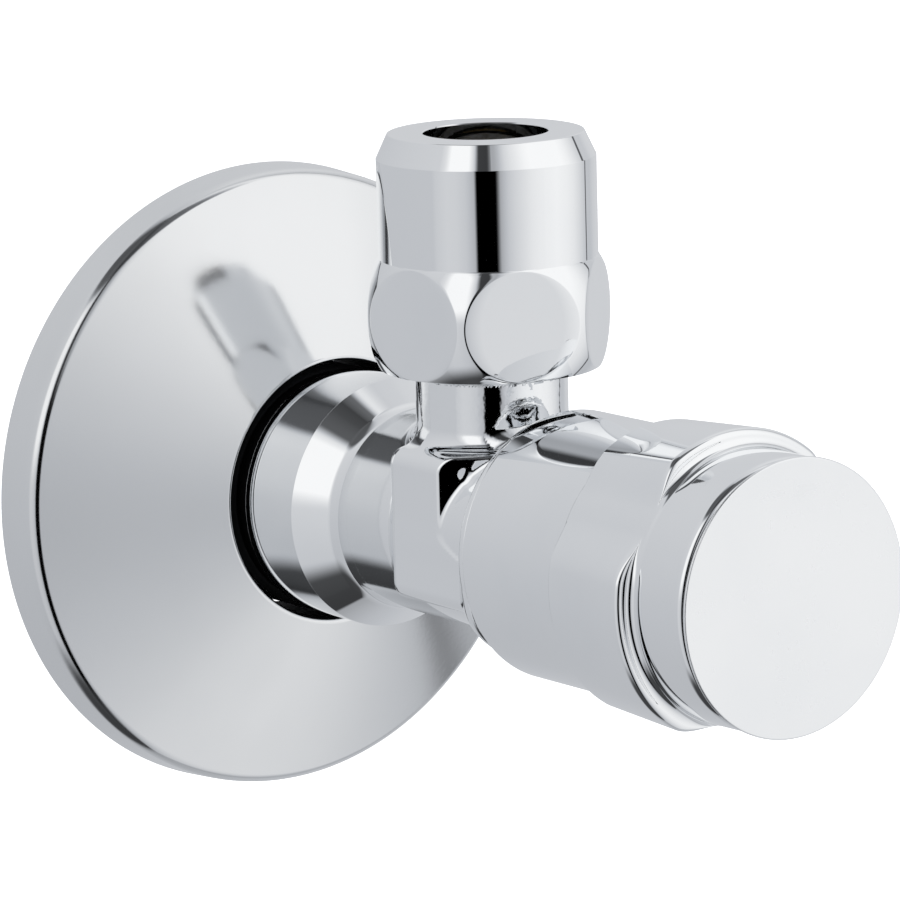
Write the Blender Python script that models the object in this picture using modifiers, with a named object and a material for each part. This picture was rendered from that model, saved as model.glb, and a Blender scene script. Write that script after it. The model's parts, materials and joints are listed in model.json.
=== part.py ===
"""Angle stop valve: half-inch wall inlet, non-rising screw-down headpart, three-lobed handle,
and a compression outlet for a 10 mm tube.

World frame in metres, +Z up. The origin is on the inlet's axis in the plane of the wall. The
valve stands out of the wall along -Y, its outlet points up along +Z, and its threaded tail runs
into the wall along +Y. Driving dimensions are in millimetres: a depth is a distance in front of
the wall, and a height is a distance above the inlet's axis.
"""

import math

import bmesh
import bpy

MM = 0.001

# Clearances and fineness of the round pieces
GAP = 0.3
SEAL_GAP = 0.2
LARGE_STEPS = 36
SMALL_STEPS = 20
RIM_STEPS = 40
SEAL_SIDES = 6
ARC_STEP = math.radians(30.0)
MERGE = 0.00001

# Wall escutcheon
ESCUTCHEON_RADIUS = 26.65
ESCUTCHEON_EDGE = 4.07
ESCUTCHEON_ROUNDING = 3.2
ESCUTCHEON_HOLE_RADIUS = 10.78
ESCUTCHEON_LIP = 11.5
ESCUTCHEON_SHEET = 0.7

# Inlet tail and body
TAIL_RADIUS = 10.44
TAIL_END = -12.0
TAIL_CHAMFER = 1.0
TAIL_FRONT = 18.2
SEAL_GROOVE_BACK = -6.2
SEAL_GROOVE_FRONT = -3.4
SEAL_GROOVE_RADIUS = 9.3
BARREL_RADIUS = 8.3
BARREL_BACK = 21.6
FLANGE_RADIUS = 10.85
FLANGE_BACK = 39.6
FLANGE_FILLET_BACK = 37.2
BODY_FRONT = 41.7
FLAT_HALF_WIDTH = 8.45
FLAT_BACK = 28.6
FLAT_FRONT = 38.8
FLAT_BOTTOM = -5.2
FLAT_TOP = 7.4
FLAT_ROUNDING = 1.2

# Waterway
INLET_BORE = 6.0
SEAT_BORE = 4.5
SEAT_BACK = 23.4
SEAT_FACE = 27.0
SEAT_NOSE_RADIUS = 5.4
SEAT_NOSE_HEIGHT = 0.9
CHAMBER_RADIUS = 6.9
BODY_RING_POCKET_RADIUS = 7.8
BODY_RING_POCKET_BACK = 40.1
OUTLET_BORE = 4.0
OUTLET_BOTTOM = 1.3

# Outlet neck, spigot and compression joint
OUTLET_DEPTH = 32.08
NECK_RADIUS = 6.2
NECK_COLLAR_RADIUS = 6.5
NECK_COLLAR = 12.7
NECK_ROOT = 0.9
SPIGOT_THREAD_BOTTOM = 14.4
SPIGOT_THREAD_TOP = 21.4
SPIGOT_THREAD_RADIUS = 8.0
SPIGOT_THREAD_CHAMFER = 0.4
SPIGOT_THREAD_LEAD = 0.8
SPIGOT_NOSE_RADIUS = 6.9
SPIGOT_TOP = 26.0
SOCKET_BOTTOM = 18.0
TUBE_CLEARANCE_RADIUS = 5.2
SPIGOT_CONE_RADIUS = 6.35
SPIGOT_CONE_BOTTOM = 24.2

# Compression nut
NUT_BOTTOM = 13.3
NUT_SHOULDER = 22.25
NUT_CHAMFER = 30.4
NUT_TOP = 32.4
NUT_RADIUS = 8.88
NUT_TOP_RADIUS = 7.95
NUT_HOLE_RADIUS = 5.05
NUT_THREAD_RADIUS = 8.33
NUT_NOSE_BORE = 7.25
NUT_NOSE_BORE_TOP = 29.0
NUT_HOLE_CHAMFER = 0.3
HEX_HALF_WIDTH = 8.95
HEX_BULGE_RADIUS = 10.15
HEX_TURN = math.radians(249.4)

# Olive and slip washer
OLIVE_TOP = 27.7
OLIVE_BAND_TOP = 27.0
OLIVE_BAND_BOTTOM = 26.5
OLIVE_BOTTOM = 24.9
OLIVE_RADIUS = 6.35
OLIVE_TOP_RADIUS = 5.75
OLIVE_TIP_RADIUS = 5.55
OLIVE_BORE = 5.1
PRESSURE_RING_BOTTOM = 28.0

# Handle
HANDLE_BACK = 42.0
HANDLE_RADIUS = 10.92
LOBE_BACK = 54.0
LOBE_FRONT = 63.1
LOBE_BACK_RADIUS = 11.75
LOBE_FRONT_RADIUS = 12.3
SCALLOP_RADIUS = 11.05
SCALLOP_COUNT = 3
SCALLOP_TURN = math.radians(25.0)
SCALLOP_HALF_ANGLE = math.radians(17.0)
SCALLOP_BLEND = math.radians(9.0)
LOBE_POINTS = 72
HANDLE_NOSE_RADIUS = 10.8
HANDLE_FRONT = 68.2
HANDLE_SKIRT_BORE = 9.6
HANDLE_WEB_BACK = 59.5
HANDLE_WEB_FRONT = 61.5
HANDLE_FRONT_BORE = 9.3
WEB_HEX_HALF_WIDTH = 5.2
INSERT_FLANGE_RADIUS = 6.6
INSERT_FRONT = 63.6
HANDLE_SCREW_HEAD_RADIUS = 3.4
HANDLE_SCREW_HEAD = 66.0
HANDLE_SCREW_END_CLEARANCE = 0.6

# Cap
CAP_RADIUS = 10.95
CAP_RIM_BACK = 68.8
CAP_NECK_RADIUS = 10.2
CAP_BACK = 68.5
CAP_FRONT = 69.65
CARRIER_BACK = 64.2
CARRIER_WALL = 1.1

# Headpart
BONNET_BACK = 36.8
BONNET_THREAD_RADIUS = 6.6
BONNET_THREAD_FRONT = 40.2
BONNET_UNDERCUT_RADIUS = 6.0
BONNET_HEX_BACK = 42.0
BONNET_HEX_FRONT = 46.6
BONNET_HEX_HALF_WIDTH = 8.0
BONNET_HEX_CORNER_RADIUS = 9.2
BONNET_HEX_CHAMFER = 0.6
BONNET_BARREL_RADIUS = 6.6
BONNET_BARREL_FRONT = 50.0
BONNET_NECK_RADIUS = 5.5
BONNET_NECK_BACK = 51.2
BONNET_NECK_CHAMFER = 0.4
BONNET_FRONT = 57.0
BONNET_BORE = 5.4
BONNET_SHOULDER = 48.5
BEARING_BORE = 3.7

# Spindle
SQUARE_HALF = 2.1
SQUARE_BACK = 38.6
COLLAR_BACK = 46.0
COLLAR_FRONT = 47.4
COLLAR_RADIUS = 5.0
SHAFT_RADIUS = 3.4
SHAFT_FRONT = 58.8
SPLINE_RADIUS = 3.2
SPLINE_ROOT = 2.85
SPLINE_SEAT_RADIUS = 2.7
SPLINE_SEAT_LENGTH = 1.2
SPLINE_COUNT = 18
SPINDLE_FRONT = 63.2
SPINDLE_RING_DEPTHS = (51.0, 54.2)
RING_GROOVE_HALF = 0.75
SHAFT_GROOVE_RADIUS = 2.45
CLIP_GROOVE_BACK = 57.3
CLIP_GROOVE_FRONT = 58.3
CLIP_THICKNESS = 0.4
CLIP_RADIUS = 4.4
CLIP_START = math.radians(115.0)
CLIP_END = math.radians(425.0)
SPINDLE_TAP_RADIUS = 1.9
SPINDLE_TAP_DEPTH = 6.4

# Plunger
PLUNGER_HEAD_RADIUS = 6.1
PLUNGER_BACK = 29.9
PLUNGER_HEAD_FRONT = 31.4
PLUNGER_HEAD_CHAMFER = 0.8
PLUNGER_RADIUS = 5.1
PLUNGER_CHAMFER = 0.4
PLUNGER_FRONT = 41.1
PLUNGER_RING_DEPTH = 38.2
PLUNGER_GROOVE_RADIUS = 4.05
SOCKET_HALF = 2.4
SOCKET_BACK = 33.4
WASHER_BACK = 27.25
WASHER_FRONT = 29.6
WASHER_RADIUS = 5.9
WASHER_CHAMFER = 0.25
WASHER_SCREW_HEAD_RADIUS = 2.6
WASHER_SCREW_HEAD = 25.6
WASHER_SCREW_RADIUS = 1.3
WASHER_SCREW_END = 32.5

# Slotted screws
SCREW_CHAMFER = 0.3
SLOT_HALF_WIDTH = 0.4
SLOT_DEPTH = 0.8

# How far cutters run past the faces they cut
OVERRUN = 1.0


def arc_between(centre, radius, start, end):
    """Points on an arc from angle start to angle end, both ends included."""
    count = max(1, math.ceil(abs(end - start) / ARC_STEP - 1e-6))
    angles = [start + (end - start) * i / count for i in range(count + 1)]
    return [(centre[0] + radius * math.cos(a), centre[1] + radius * math.sin(a)) for a in angles]


def rounded_corner(before, corner, after, radius):
    """The arc that rounds the corner between two straight stretches."""
    a = (before[0] - corner[0], before[1] - corner[1])
    b = (after[0] - corner[0], after[1] - corner[1])
    length_a = math.hypot(*a)
    length_b = math.hypot(*b)
    a = (a[0] / length_a, a[1] / length_a)
    b = (b[0] / length_b, b[1] / length_b)
    half = math.acos(max(-1.0, min(1.0, a[0] * b[0] + a[1] * b[1]))) / 2.0
    to_centre = radius / math.sin(half)
    middle = (a[0] + b[0], a[1] + b[1])
    scale = to_centre / math.hypot(*middle)
    centre = (corner[0] + middle[0] * scale, corner[1] + middle[1] * scale)
    reach = radius / math.tan(half)
    first = (corner[0] + a[0] * reach, corner[1] + a[1] * reach)
    last = (corner[0] + b[0] * reach, corner[1] + b[1] * reach)
    start = math.atan2(first[1] - centre[1], first[0] - centre[0])
    turn = math.atan2(last[1] - centre[1], last[0] - centre[0]) - start
    turn = (turn + math.pi) % (2.0 * math.pi) - math.pi
    return arc_between(centre, radius, start, start + turn)


def outline_points(corners, closed):
    """An outline's points: a corner with a third number is rounded to that radius."""
    points = []
    for index, corner in enumerate(corners):
        inside = closed or 0 < index < len(corners) - 1
        if len(corner) == 3 and inside:
            after = corners[(index + 1) % len(corners)]
            points += rounded_corner(corners[index - 1], corner, after, corner[2])
        else:
            points.append((corner[0], corner[1]))
    return points


def new_collection(name):
    collection = bpy.data.collections.new(name)
    bpy.context.scene.collection.children.link(collection)
    return collection


def new_axis(name, location, rotation):
    """An empty whose local Z is an axis that pieces are turned about."""
    axis = bpy.data.objects.new(name, None)
    axis.empty_display_size = 0.01
    axis.location = location
    axis.rotation_euler = rotation
    bpy.context.scene.collection.objects.link(axis)
    return axis


def new_material(name, colour, roughness, metallic):
    material = bpy.data.materials.new(name)
    material.use_nodes = True
    shader = material.node_tree.nodes["Principled BSDF"]
    shader.inputs["Base Color"].default_value = (*colour, 1.0)
    shader.inputs["Roughness"].default_value = roughness
    shader.inputs["Metallic"].default_value = metallic
    return material


def place(obj, collection, axis):
    collection.objects.link(obj)
    obj.parent = axis
    return obj


def finish_part(obj, look):
    """Gives a sub-part its own material."""
    name, colour, roughness, metallic = look
    obj.data.materials.append(new_material(obj.name + "_" + name, colour, roughness, metallic))


def turned(name, corners, collection, axis, closed=False, steps=LARGE_STEPS):
    """A turned piece from an outline of (radius, distance along the axis) corners.

    The outline runs down the piece's outer side, from its far end to its near end. An open
    outline starts and ends on the axis; a closed one makes a ring.
    """
    points = outline_points(corners, closed)
    mesh = bpy.data.meshes.new(name)
    edges = [(i, i + 1) for i in range(len(points) - 1)]
    if closed:
        edges.append((len(points) - 1, 0))
    mesh.from_pydata([(r * MM, 0.0, h * MM) for r, h in points], edges, [])
    obj = bpy.data.objects.new(name, mesh)
    screw = obj.modifiers.new("Turn", "SCREW")
    screw.steps = steps
    screw.render_steps = steps
    screw.use_merge_vertices = True
    screw.merge_threshold = MERGE
    return place(obj, collection, axis)


def ring(name, inner, outer, low, high, collection, axis, steps=LARGE_STEPS, chamfer=0.0):
    """A plain turned ring, with its four edges chamfered where a chamfer is given."""
    if chamfer:
        corners = [
            (outer - chamfer, high),
            (outer, high - chamfer),
            (outer, low + chamfer),
            (outer - chamfer, low),
            (inner + chamfer, low),
            (inner, low + chamfer),
            (inner, high - chamfer),
            (inner + chamfer, high),
        ]
    else:
        corners = [(outer, high), (outer, low), (inner, low), (inner, high)]
    return turned(name, corners, collection, axis, closed=True, steps=steps)


def prism(name, points, low, high, collection, axis):
    """A flat outline of (x, y) points extruded between two distances along the axis."""
    curve = bpy.data.curves.new(name, "CURVE")
    curve.dimensions = "2D"
    curve.fill_mode = "BOTH"
    curve.extrude = (high - low) * MM / 2.0
    spline = curve.splines.new("POLY")
    spline.points.add(len(points) - 1)
    for point, (x, y) in zip(spline.points, points):
        point.co = (x * MM, y * MM, 0.0, 1.0)
    spline.use_cyclic_u = True
    drawn = bpy.data.objects.new(name + "_outline", curve)
    collection.objects.link(drawn)
    graph = bpy.context.evaluated_depsgraph_get()
    mesh = bpy.data.meshes.new_from_object(drawn.evaluated_get(graph))
    bpy.data.objects.remove(drawn)
    bpy.data.curves.remove(curve)
    solid = bmesh.new()
    solid.from_mesh(mesh)
    bmesh.ops.remove_doubles(solid, verts=solid.verts, dist=MERGE)
    bmesh.ops.recalc_face_normals(solid, faces=solid.faces)
    bmesh.ops.translate(solid, verts=solid.verts, vec=(0.0, 0.0, (high + low) * MM / 2.0))
    solid.to_mesh(mesh)
    solid.free()
    mesh.name = name
    return place(bpy.data.objects.new(name, mesh), collection, axis)


def regular_outline(sides, half_width, turn=0.0):
    """A regular polygon by the distance of its sides from the middle."""
    corner = half_width / math.cos(math.pi / sides)
    angles = [turn + math.pi / sides + 2.0 * math.pi * i / sides for i in range(sides)]
    return [(corner * math.cos(a), corner * math.sin(a)) for a in angles]


def star_outline(count, outer, inner):
    """A serrated round outline with the given number of teeth."""
    points = []
    for i in range(count * 2):
        angle = math.pi * i / count
        radius = outer if i % 2 == 0 else inner
        points.append((radius * math.cos(angle), radius * math.sin(angle)))
    return points


def combine(target, tool, operation):
    """Joins, cuts or trims a piece with a helper shape, which is kept out of the build."""
    tool.hide_render = True
    tool.display_type = "WIRE"
    boolean = target.modifiers.new(operation.title(), "BOOLEAN")
    boolean.operation = operation
    boolean.solver = "EXACT"
    boolean.object = tool


# Looks: (name, colour, roughness, metallic)
POLISHED_CHROME = ("polished_chrome", (0.78, 0.80, 0.82), 0.05, 1.0)
SATIN_CHROME = ("satin_chrome", (0.76, 0.78, 0.80), 0.25, 1.0)
BRASS = ("brass", (0.76, 0.58, 0.30), 0.28, 1.0)
BLACK_RUBBER = ("black_rubber", (0.03, 0.03, 0.03), 0.6, 0.0)
WHITE_PLASTIC = ("white_plastic", (0.85, 0.85, 0.82), 0.4, 0.0)
GREY_PLASTIC = ("grey_plastic", (0.30, 0.31, 0.33), 0.45, 0.0)
STAINLESS = ("stainless_steel", (0.62, 0.62, 0.62), 0.3, 1.0)


def make_valve_body(parts, tools, valve, outlet):
    """The chromed brass body: threaded tail, barrel, spanner flats, neck, spigot and socket."""
    body = turned("valve_body", [
        (0.0, BODY_FRONT),
        (FLANGE_RADIUS, BODY_FRONT, 0.35),
        (FLANGE_RADIUS, FLANGE_BACK, 0.8),
        (BARREL_RADIUS, FLANGE_FILLET_BACK, 1.5),
        (BARREL_RADIUS, BARREL_BACK, 1.2),
        (TAIL_RADIUS, TAIL_FRONT, 0.4),
        (TAIL_RADIUS, SEAL_GROOVE_FRONT),
        (SEAL_GROOVE_RADIUS, SEAL_GROOVE_FRONT),
        (SEAL_GROOVE_RADIUS, SEAL_GROOVE_BACK),
        (TAIL_RADIUS, SEAL_GROOVE_BACK),
        (TAIL_RADIUS, TAIL_END + TAIL_CHAMFER),
        (TAIL_RADIUS - TAIL_CHAMFER, TAIL_END),
        (0.0, TAIL_END),
    ], parts, valve)

    bpy.ops.mesh.primitive_cube_add(size=1.0)
    flats = bpy.context.object
    flats.name = "spanner_flats"
    low = (-FLAT_HALF_WIDTH, FLAT_BOTTOM, FLAT_BACK)
    high = (FLAT_HALF_WIDTH, FLAT_TOP, FLAT_FRONT)
    for vertex in flats.data.vertices:
        vertex.co = [(low[k] if vertex.co[k] < 0.0 else high[k]) * MM for k in range(3)]
    rounding = flats.modifiers.new("Rounding", "BEVEL")
    rounding.width = FLAT_ROUNDING * MM
    rounding.segments = 3
    bpy.context.collection.objects.unlink(flats)
    combine(body, place(flats, tools, valve), "UNION")

    neck = turned("outlet_neck", [
        (0.0, SPIGOT_TOP),
        (SPIGOT_NOSE_RADIUS, SPIGOT_TOP, 0.3),
        (SPIGOT_NOSE_RADIUS, SPIGOT_THREAD_TOP),
        (SPIGOT_THREAD_RADIUS - SPIGOT_THREAD_CHAMFER, SPIGOT_THREAD_TOP),
        (SPIGOT_THREAD_RADIUS, SPIGOT_THREAD_TOP - SPIGOT_THREAD_CHAMFER),
        (SPIGOT_THREAD_RADIUS, SPIGOT_THREAD_BOTTOM),
        (NECK_COLLAR_RADIUS, SPIGOT_THREAD_BOTTOM - SPIGOT_THREAD_LEAD),
        (NECK_COLLAR_RADIUS, NECK_COLLAR),
        (NECK_RADIUS, NECK_COLLAR - 0.3),
        (NECK_RADIUS, NECK_ROOT),
        (0.0, NECK_ROOT),
    ], tools, outlet)
    combine(body, neck, "UNION")

    waterway = turned("waterway_cutter", [
        (0.0, BODY_FRONT + OVERRUN),
        (BODY_RING_POCKET_RADIUS, BODY_FRONT + OVERRUN),
        (BODY_RING_POCKET_RADIUS, BODY_RING_POCKET_BACK),
        (CHAMBER_RADIUS, BODY_RING_POCKET_BACK),
        (CHAMBER_RADIUS, SEAT_FACE - SEAT_NOSE_HEIGHT),
        (SEAT_NOSE_RADIUS, SEAT_FACE - SEAT_NOSE_HEIGHT),
        (SEAT_NOSE_RADIUS - 0.2, SEAT_FACE),
        (SEAT_BORE, SEAT_FACE),
        (SEAT_BORE, SEAT_BACK),
        (INLET_BORE, SEAT_BACK - 1.0),
        (INLET_BORE, TAIL_END - OVERRUN),
        (0.0, TAIL_END - OVERRUN),
    ], tools, valve)
    combine(body, waterway, "DIFFERENCE")

    outlet_way = turned("outlet_cutter", [
        (0.0, SPIGOT_TOP + OVERRUN),
        (SPIGOT_CONE_RADIUS, SPIGOT_TOP + OVERRUN),
        (SPIGOT_CONE_RADIUS, SPIGOT_TOP),
        (TUBE_CLEARANCE_RADIUS, SPIGOT_CONE_BOTTOM),
        (TUBE_CLEARANCE_RADIUS, SOCKET_BOTTOM),
        (OUTLET_BORE, SOCKET_BOTTOM),
        (OUTLET_BORE, OUTLET_BOTTOM),
        (0.0, OUTLET_BOTTOM),
    ], tools, outlet, steps=SMALL_STEPS)
    combine(body, outlet_way, "DIFFERENCE")
    finish_part(body, POLISHED_CHROME)


def make_inlet_seal_ring(parts, valve):
    """The self-sealing ring in the groove of the tail's thread."""
    seal = ring(
        "inlet_seal_ring", SEAL_GROOVE_RADIUS + GAP, TAIL_RADIUS - 0.1,
        SEAL_GROOVE_BACK + GAP, SEAL_GROOVE_FRONT - GAP, parts, valve, chamfer=0.2,
    )
    finish_part(seal, WHITE_PLASTIC)


def make_wall_escutcheon(parts, valve):
    """The pressed cover plate: a straight rim, a rounded crest and a cone up to the hole."""
    plate = turned("wall_escutcheon", [
        (ESCUTCHEON_HOLE_RADIUS, ESCUTCHEON_LIP - 0.9),
        (ESCUTCHEON_HOLE_RADIUS + 0.2, ESCUTCHEON_LIP, 0.4),
        (ESCUTCHEON_RADIUS, ESCUTCHEON_EDGE, ESCUTCHEON_ROUNDING),
        (ESCUTCHEON_RADIUS, 0.0),
    ], parts, valve, steps=RIM_STEPS)
    sheet = plate.modifiers.new("Sheet", "SOLIDIFY")
    sheet.thickness = ESCUTCHEON_SHEET * MM
    sheet.offset = -1.0
    sheet.use_even_offset = True
    finish_part(plate, SATIN_CHROME)


def make_compression_nut(parts, tools, outlet):
    """The outlet nut: a barrel-shaped collar with six round flats under a plain cylinder."""
    middle = (NUT_BOTTOM + NUT_SHOULDER) / 2.0
    half = (NUT_SHOULDER - NUT_BOTTOM) / 2.0
    bulge = HEX_BULGE_RADIUS**2 - HEX_HALF_WIDTH**2
    collar = []
    for k in range(4, -5, -1):
        rise = k / 4.0
        collar.append((math.sqrt(HEX_HALF_WIDTH**2 + bulge * (1.0 - rise**2)), middle + half * rise))
    nut = turned("compression_nut", [
        (NUT_TOP_RADIUS, NUT_TOP),
        (NUT_RADIUS, NUT_CHAMFER),
        (NUT_RADIUS, NUT_SHOULDER + 0.1),
        *collar,
        (NUT_THREAD_RADIUS + NUT_HOLE_CHAMFER, NUT_BOTTOM),
        (NUT_THREAD_RADIUS, NUT_BOTTOM + NUT_HOLE_CHAMFER),
        (NUT_THREAD_RADIUS, NUT_SHOULDER),
        (NUT_NOSE_BORE, NUT_SHOULDER + 0.6),
        (NUT_NOSE_BORE, NUT_NOSE_BORE_TOP),
        (NUT_HOLE_RADIUS, NUT_NOSE_BORE_TOP),
        (NUT_HOLE_RADIUS, NUT_TOP - NUT_HOLE_CHAMFER),
        (NUT_HOLE_RADIUS + NUT_HOLE_CHAMFER, NUT_TOP),
    ], parts, outlet, closed=True, steps=RIM_STEPS)
    hexagon = prism(
        "nut_hexagon", regular_outline(6, HEX_HALF_WIDTH, HEX_TURN),
        NUT_BOTTOM - OVERRUN, NUT_TOP + OVERRUN, tools, outlet,
    )
    combine(nut, hexagon, "INTERSECT")
    finish_part(nut, POLISHED_CHROME)


def make_compression_ring(parts, outlet):
    """The brass olive that is squeezed between the spigot's cone and the nut."""
    olive = turned("compression_ring", [
        (OLIVE_TOP_RADIUS, OLIVE_TOP),
        (OLIVE_RADIUS, OLIVE_BAND_TOP),
        (OLIVE_RADIUS, OLIVE_BAND_BOTTOM),
        (OLIVE_TIP_RADIUS, OLIVE_BOTTOM),
        (OLIVE_BORE, OLIVE_BOTTOM),
        (OLIVE_BORE, OLIVE_TOP),
    ], parts, outlet, closed=True)
    finish_part(olive, BRASS)


def make_pressure_ring(parts, outlet):
    """The slip washer that keeps the turning nut from dragging the olive round."""
    washer = ring(
        "pressure_ring", NUT_HOLE_RADIUS + GAP, NUT_NOSE_BORE - GAP,
        PRESSURE_RING_BOTTOM, NUT_NOSE_BORE_TOP - GAP, parts, outlet,
    )
    finish_part(washer, BRASS)


def make_bonnet(parts, tools, valve):
    """The headpart's brass housing, screwed into the body's front socket."""
    bonnet = turned("bonnet", [
        (BEARING_BORE, BONNET_FRONT),
        (BONNET_NECK_RADIUS - BONNET_NECK_CHAMFER, BONNET_FRONT),
        (BONNET_NECK_RADIUS, BONNET_FRONT - BONNET_NECK_CHAMFER),
        (BONNET_NECK_RADIUS, BONNET_NECK_BACK),
        (BONNET_BARREL_RADIUS, BONNET_BARREL_FRONT),
        (BONNET_BARREL_RADIUS, BONNET_HEX_FRONT),
        (BONNET_HEX_CORNER_RADIUS - BONNET_HEX_CHAMFER, BONNET_HEX_FRONT),
        (BONNET_HEX_CORNER_RADIUS, BONNET_HEX_FRONT - BONNET_HEX_CHAMFER),
        (BONNET_HEX_CORNER_RADIUS, BONNET_HEX_BACK),
        (BONNET_UNDERCUT_RADIUS, BONNET_HEX_BACK),
        (BONNET_UNDERCUT_RADIUS, BONNET_THREAD_FRONT),
        (BONNET_THREAD_RADIUS, BONNET_THREAD_FRONT),
        (BONNET_THREAD_RADIUS, BONNET_BACK),
        (BONNET_BORE, BONNET_BACK),
        (BONNET_BORE, BONNET_SHOULDER),
        (BEARING_BORE, BONNET_SHOULDER),
    ], parts, valve, closed=True)
    hexagon = prism(
        "bonnet_hexagon", regular_outline(6, BONNET_HEX_HALF_WIDTH),
        BONNET_BACK - OVERRUN, BONNET_FRONT + OVERRUN, tools, valve,
    )
    combine(bonnet, hexagon, "INTERSECT")
    finish_part(bonnet, BRASS)


def make_rubber_ring(name, inner, outer, depth, parts, valve):
    """A round-section sealing ring that fits between two radii, a little clear of both."""
    middle = (inner + outer) / 2.0
    cord = (outer - inner) / 2.0 - SEAL_GAP
    angles = [-2.0 * math.pi * i / SEAL_SIDES for i in range(SEAL_SIDES)]
    circle = [(middle + cord * math.cos(a), depth + cord * math.sin(a)) for a in angles]
    seal = turned(name, circle, parts, valve, closed=True, steps=SMALL_STEPS)
    finish_part(seal, BLACK_RUBBER)


def make_spindle(parts, tools, valve):
    """The brass spindle: square drive end, thrust collar, ringed shaft and serrated front end."""
    corners = [
        (0.0, SHAFT_FRONT + SPLINE_SEAT_LENGTH),
        (SPLINE_SEAT_RADIUS, SHAFT_FRONT + SPLINE_SEAT_LENGTH),
        (SPLINE_SEAT_RADIUS, SHAFT_FRONT),
        (SHAFT_RADIUS, SHAFT_FRONT),
        (SHAFT_RADIUS, CLIP_GROOVE_FRONT),
        (SHAFT_GROOVE_RADIUS, CLIP_GROOVE_FRONT),
        (SHAFT_GROOVE_RADIUS, CLIP_GROOVE_BACK),
        (SHAFT_RADIUS, CLIP_GROOVE_BACK),
    ]
    for depth in reversed(SPINDLE_RING_DEPTHS):
        corners += [
            (SHAFT_RADIUS, depth + RING_GROOVE_HALF),
            (SHAFT_GROOVE_RADIUS, depth + RING_GROOVE_HALF),
            (SHAFT_GROOVE_RADIUS, depth - RING_GROOVE_HALF),
            (SHAFT_RADIUS, depth - RING_GROOVE_HALF),
        ]
    corners += [
        (SHAFT_RADIUS, COLLAR_FRONT),
        (COLLAR_RADIUS, COLLAR_FRONT),
        (COLLAR_RADIUS, COLLAR_BACK),
        (0.0, COLLAR_BACK),
    ]
    spindle = turned("spindle", corners, parts, valve, steps=SMALL_STEPS)
    square = prism(
        "spindle_square", regular_outline(4, SQUARE_HALF),
        SQUARE_BACK, (COLLAR_BACK + COLLAR_FRONT) / 2.0, tools, valve,
    )
    combine(spindle, square, "UNION")
    serrations = prism(
        "spindle_serrations", star_outline(SPLINE_COUNT, SPLINE_RADIUS, SPLINE_ROOT),
        SHAFT_FRONT - 0.2, SPINDLE_FRONT, tools, valve,
    )
    combine(spindle, serrations, "UNION")
    tapping = turned("spindle_tapping", [
        (0.0, SPINDLE_FRONT + OVERRUN),
        (SPINDLE_TAP_RADIUS, SPINDLE_FRONT + OVERRUN),
        (SPINDLE_TAP_RADIUS, SPINDLE_FRONT - SPINDLE_TAP_DEPTH),
        (0.0, SPINDLE_FRONT - SPINDLE_TAP_DEPTH),
    ], tools, valve, steps=SMALL_STEPS)
    combine(spindle, tapping, "DIFFERENCE")
    finish_part(spindle, BRASS)


def make_spindle_clip(parts, valve):
    """The open spring ring that keeps the spindle from being pushed into the housing."""
    outer = arc_between((0.0, 0.0), CLIP_RADIUS, CLIP_START, CLIP_END)
    inner = arc_between((0.0, 0.0), SHAFT_GROOVE_RADIUS + GAP, CLIP_END, CLIP_START)
    middle = (CLIP_GROOVE_BACK + CLIP_GROOVE_FRONT) / 2.0
    half = CLIP_THICKNESS / 2.0
    clip = prism("spindle_clip", outer + inner, middle - half, middle + half, parts, valve)
    finish_part(clip, STAINLESS)


def make_thrust_washer(parts, valve):
    """The slippery washer between the spindle's collar and the housing's shoulder."""
    washer = ring(
        "thrust_washer", BEARING_BORE, BONNET_BORE - GAP,
        COLLAR_FRONT + GAP, BONNET_SHOULDER - GAP, parts, valve, steps=SMALL_STEPS,
    )
    finish_part(washer, WHITE_PLASTIC)


def make_plunger(parts, tools, valve):
    """The screw-down disc carrier, driven round by the spindle's square."""
    plunger = turned("plunger", [
        (0.0, PLUNGER_FRONT),
        (PLUNGER_RADIUS - PLUNGER_CHAMFER, PLUNGER_FRONT),
        (PLUNGER_RADIUS, PLUNGER_FRONT - PLUNGER_CHAMFER),
        (PLUNGER_RADIUS, PLUNGER_RING_DEPTH + RING_GROOVE_HALF),
        (PLUNGER_GROOVE_RADIUS, PLUNGER_RING_DEPTH + RING_GROOVE_HALF),
        (PLUNGER_GROOVE_RADIUS, PLUNGER_RING_DEPTH - RING_GROOVE_HALF),
        (PLUNGER_RADIUS, PLUNGER_RING_DEPTH - RING_GROOVE_HALF),
        (PLUNGER_RADIUS, PLUNGER_HEAD_FRONT + PLUNGER_HEAD_CHAMFER),
        (PLUNGER_HEAD_RADIUS, PLUNGER_HEAD_FRONT),
        (PLUNGER_HEAD_RADIUS, PLUNGER_BACK),
        (0.0, PLUNGER_BACK),
    ], parts, valve, steps=SMALL_STEPS)
    socket = prism(
        "plunger_socket", regular_outline(4, SOCKET_HALF),
        SOCKET_BACK, PLUNGER_FRONT + OVERRUN, tools, valve,
    )
    combine(plunger, socket, "DIFFERENCE")
    screw_hole = turned("washer_screw_hole", [
        (0.0, WASHER_SCREW_END + GAP),
        (WASHER_SCREW_RADIUS + GAP, WASHER_SCREW_END + GAP),
        (WASHER_SCREW_RADIUS + GAP, PLUNGER_BACK - OVERRUN),
        (0.0, PLUNGER_BACK - OVERRUN),
    ], tools, valve, steps=SMALL_STEPS)
    combine(plunger, screw_hole, "DIFFERENCE")
    finish_part(plunger, BRASS)


def make_seat_washer(parts, valve):
    """The rubber disc that closes on the seat."""
    washer = ring(
        "seat_washer", WASHER_SCREW_RADIUS + GAP, WASHER_RADIUS,
        WASHER_BACK, WASHER_FRONT, parts, valve, steps=SMALL_STEPS, chamfer=WASHER_CHAMFER,
    )
    finish_part(washer, BLACK_RUBBER)


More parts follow.
